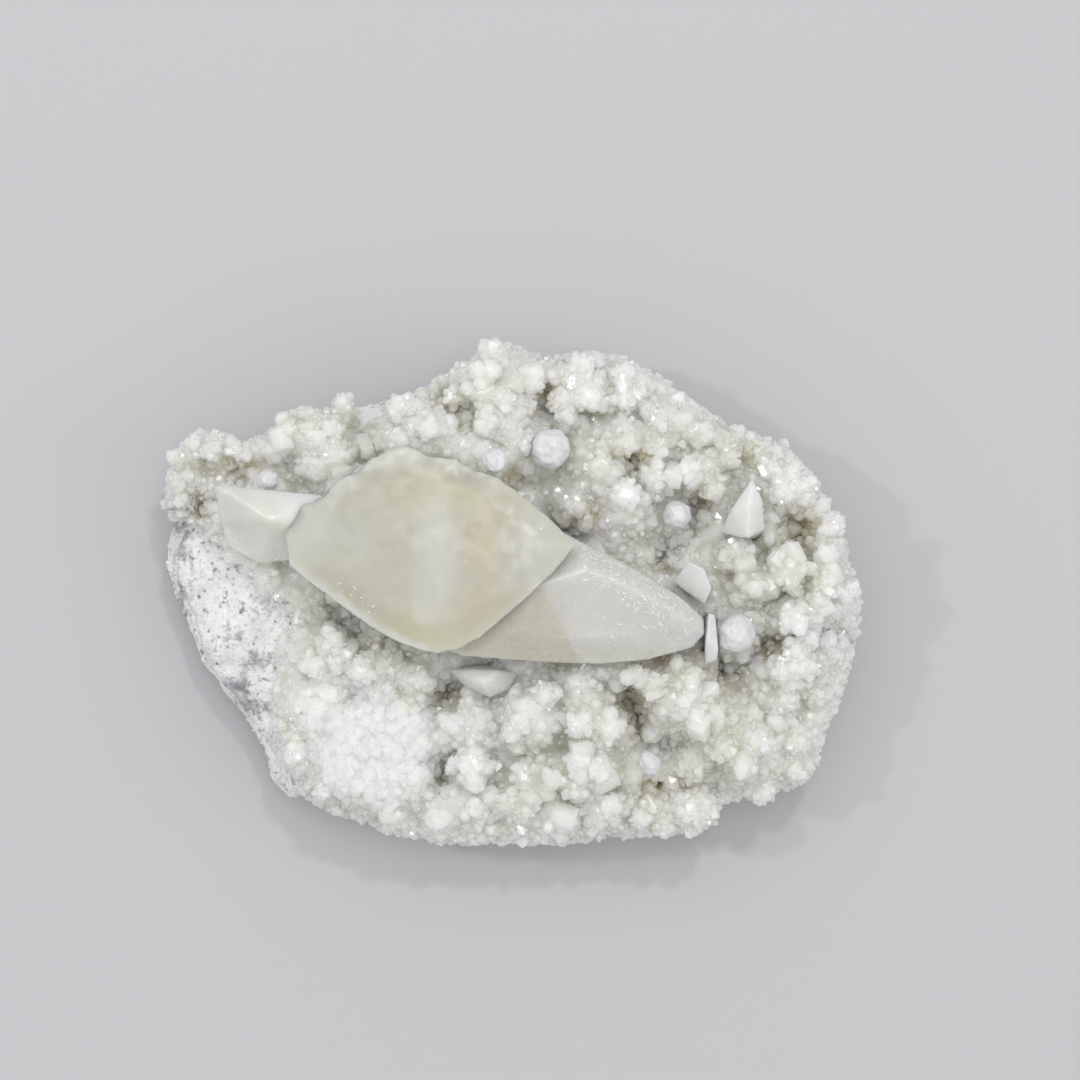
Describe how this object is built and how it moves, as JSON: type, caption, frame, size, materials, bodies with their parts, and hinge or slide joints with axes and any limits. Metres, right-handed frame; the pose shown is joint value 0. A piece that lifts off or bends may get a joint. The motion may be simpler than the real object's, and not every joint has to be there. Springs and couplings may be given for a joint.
{
  "type": "calcite specimen on matrix",
  "caption": "Hand-sized mineral specimen: pale honey calcite crystals lying across a crust of small blocky crystals on dark basalt, with a flat cut back to rest on.",
  "frame": {"origin": "centre of the bounding box's bottom face, on the surface the specimen rests on", "axes": "+X along the length towards the tapered crystal's tip, +Y towards the top of the picture, +Z out of the crystal side"},
  "size_m": [0.0942, 0.067, 0.0338],
  "materials": {
    "basalt": "rough dark basalt under a powdery white skin",
    "crust_crystal": "glassy milky white, greenish and tan in the hollows",
    "calcite": "waxy, cloudy and slightly see-through, pale honey in the middle",
    "single_crystal": "glassy, greyish white, slightly see-through",
    "white_tuft": "matte bluish white, finely fibrous"
  },
  "bodies": {
    "root": {"basalt_matrix": "basalt", "crystal_crust": "crust_crystal", "calcite_crystals": "calcite", "lens_crystal": "single_crystal", "dogtooth_crystal": "single_crystal", "blade_crystal_upper": "single_crystal", "blade_crystal_lower": "single_crystal", "white_ball_1": "white_tuft", "white_ball_2": "white_tuft", "white_ball_3": "white_tuft", "white_ball_4": "white_tuft", "white_ball_5": "white_tuft", "white_ball_6": "white_tuft"}
  },
  "joints": []
}
